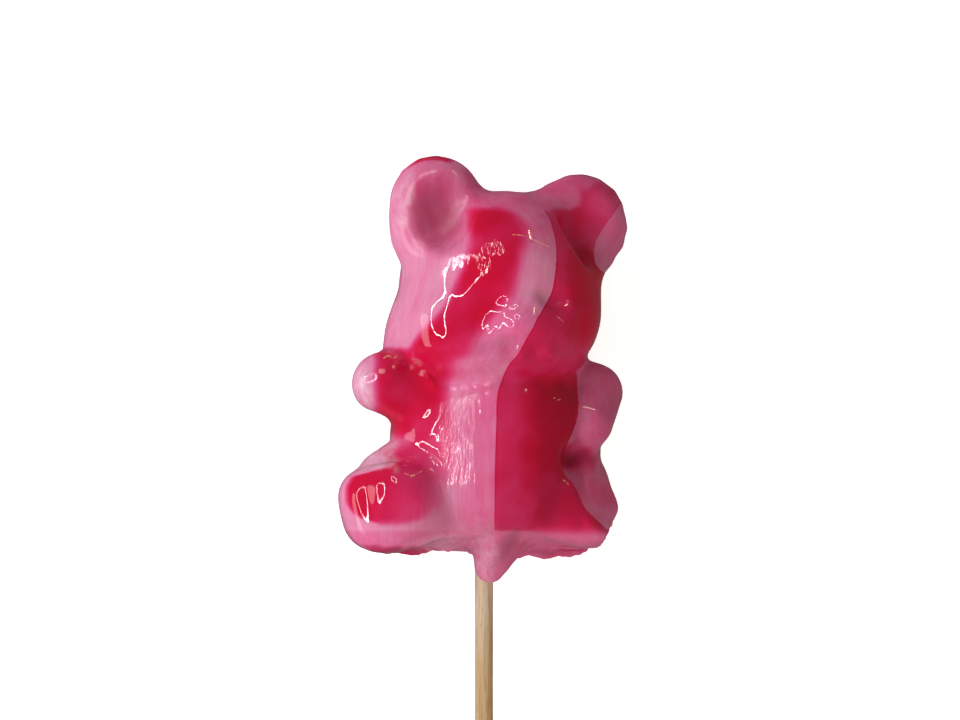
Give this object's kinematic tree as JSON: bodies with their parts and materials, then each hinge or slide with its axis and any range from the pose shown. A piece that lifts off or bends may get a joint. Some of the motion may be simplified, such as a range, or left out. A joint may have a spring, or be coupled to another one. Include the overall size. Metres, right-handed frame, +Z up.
{
  "type": "bear lollipop",
  "caption": "Glossy marbled pink and crimson boiled-sugar lollipop, moulded as a seated teddy bear on a round bamboo stick, lying on its back.",
  "frame": {"origin": "on the flat spot on the back of the bear's body, on the axis of the stick seen from above, where the lollipop rests", "axes": "+Z up through the front of the bear that lies on its back, +Y along the stick towards the head, -Y towards the free end of the stick, +X to the right as the bear is seen from the front"},
  "size_m": [0.0494, 0.169, 0.0266],
  "materials": {
    "candy": "glossy boiled sugar, opaque pink marbled with clear crimson",
    "stick": "plain dry bamboo, fine lengthwise grain"
  },
  "bodies": {
    "root": {"candy_bear": "candy", "stick": "stick"}
  },
  "joints": []
}
